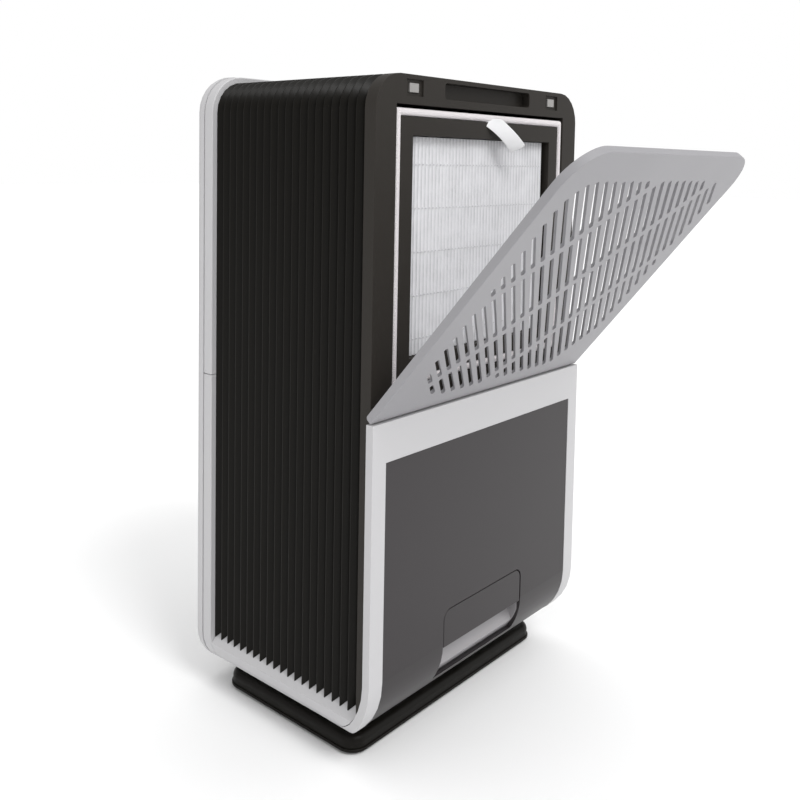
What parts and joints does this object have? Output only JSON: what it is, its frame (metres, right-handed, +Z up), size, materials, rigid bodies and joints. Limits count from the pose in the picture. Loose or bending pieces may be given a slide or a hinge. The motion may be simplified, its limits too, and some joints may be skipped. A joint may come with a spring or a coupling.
{
  "type": "air purifier",
  "caption": "Upright purifier with ribbed sides, a hinged rear grille over a tip-out pleated filter, and a smoked pull-out water tank on a flat base.",
  "frame": {"origin": "on the floor under the centre of the base", "axes": "+Z up, the plain front faces -Y, the filter and the tank face +Y"},
  "size_m": [0.326, 0.4175, 0.6],
  "materials": {
    "white_shell": "satin white moulding",
    "black_shell": "fine matte black moulding",
    "charcoal": "matte charcoal moulding",
    "grille_grey": "cool grey satin moulding",
    "smoked_tank": "smoked semi-gloss plastic",
    "clear_tank": "clear moulded plastic",
    "gloss_black": "gloss black",
    "filter_fabric": "pleated non-woven media",
    "gasket_foam": "grey-pink foam seal",
    "rubber": "black rubber",
    "steel": "plain steel",
    "aluminium": "bare fin stock",
    "circuit_board": "green solder resist"
  },
  "bodies": {
    "body": {"base_foot_1": "rubber", "base_foot_2": "rubber", "base_foot_3": "rubber", "base_foot_4": "rubber", "base_plate": "black_shell", "base_screw_1": "steel", "base_screw_2": "steel", "base_screw_3": "steel", "base_screw_4": "steel", "compressor": "black_shell", "compressor_mount_1": "rubber", "compressor_mount_2": "rubber", "compressor_mount_3": "rubber", "condenser": "aluminium", "control_board": "circuit_board", "control_panel": "gloss_black", "cord_gland": "rubber", "display_lens": "gloss_black", "divider": "black_shell", "drip_tray": "black_shell", "evaporator": "aluminium", "fan_housing": "charcoal", "fan_inlet_plate": "charcoal", "fan_motor": "steel", "front_frame_lower": "white_shell", "front_frame_upper": "white_shell", "front_panel": "white_shell", "hinge_socket_left": "charcoal", "hinge_socket_right": "charcoal", "latch_magnet_left": "steel", "latch_magnet_right": "steel", "lower_tub": "white_shell", "outlet_frame": "black_shell", "power_board": "circuit_board", "rear_bezel": "charcoal", "rear_frame": "white_shell", "ribbed_shell": "black_shell", "tank_shelf": "black_shell", "tank_switch": "black_shell"},
    "cover": {"grille_cover": "grille_grey", "strike_plate_left": "steel", "strike_plate_right": "steel", "hinge_pin_left": "steel", "hinge_pin_right": "steel"},
    "filter": {"filter_frame": "charcoal", "filter_media": "filter_fabric", "filter_gasket": "gasket_foam", "filter_tab": "filter_fabric"},
    "tank": {"tank_front": "smoked_tank", "tank_sill": "smoked_tank", "tank_grip_cup": "smoked_tank", "tank_bucket": "clear_tank", "tank_lid": "clear_tank"},
    "float": {"tank_float": "white_shell"},
    "fan_wheel": {"impeller": "white_shell"},
    "louvre": {"outlet_louvre": "black_shell"},
    "power_key": {"button_power": "charcoal"},
    "mode_key": {"button_mode": "charcoal"},
    "speed_key": {"button_speed": "charcoal"},
    "timer_key": {"button_timer": "charcoal"}
  },
  "joints": [
    {"name": "cover_hinge", "type": "hinge", "parent": "body", "child": "cover", "pos_m": [0, 0.113, 0.313], "axis": [-1, 0, 0], "range_deg": [-40, 0]},
    {"name": "filter_tilt", "type": "hinge", "parent": "body", "child": "filter", "pos_m": [0, 0.1085, 0.3296], "axis": [-1, 0, 0], "range_deg": [0, 18]},
    {"name": "tank_slide", "type": "slide", "parent": "body", "child": "tank", "axis": [0, 1, 0], "range_m": [0, 0.13]},
    {"name": "float_rise", "type": "slide", "parent": "tank", "child": "float", "axis": [0, 0, 1], "range_m": [0, 0.025]},
    {"name": "fan_spin", "type": "hinge", "parent": "body", "child": "fan_wheel", "pos_m": [0, 0, 0.43003], "axis": [0, 1, 0], "continuous": true},
    {"name": "louvre_hinge", "type": "hinge", "parent": "body", "child": "louvre", "pos_m": [0, -0.004, 0.5933], "axis": [-1, 0, 0], "range_deg": [0, 70]},
    {"name": "power_press", "type": "slide", "parent": "body", "child": "power_key", "axis": [0, 0, -1], "range_m": [0, 0.0012], "stiffness_N_per_m": 700, "springref_m": -0.0006},
    {"name": "mode_press", "type": "slide", "parent": "body", "child": "mode_key", "axis": [0, 0, -1], "range_m": [0, 0.0012], "stiffness_N_per_m": 700, "springref_m": -0.0006},
    {"name": "speed_press", "type": "slide", "parent": "body", "child": "speed_key", "axis": [0, 0, -1], "range_m": [0, 0.0012], "stiffness_N_per_m": 700, "springref_m": -0.0006},
    {"name": "timer_press", "type": "slide", "parent": "body", "child": "timer_key", "axis": [0, 0, -1], "range_m": [0, 0.0012], "stiffness_N_per_m": 700, "springref_m": -0.0006}
  ]
}
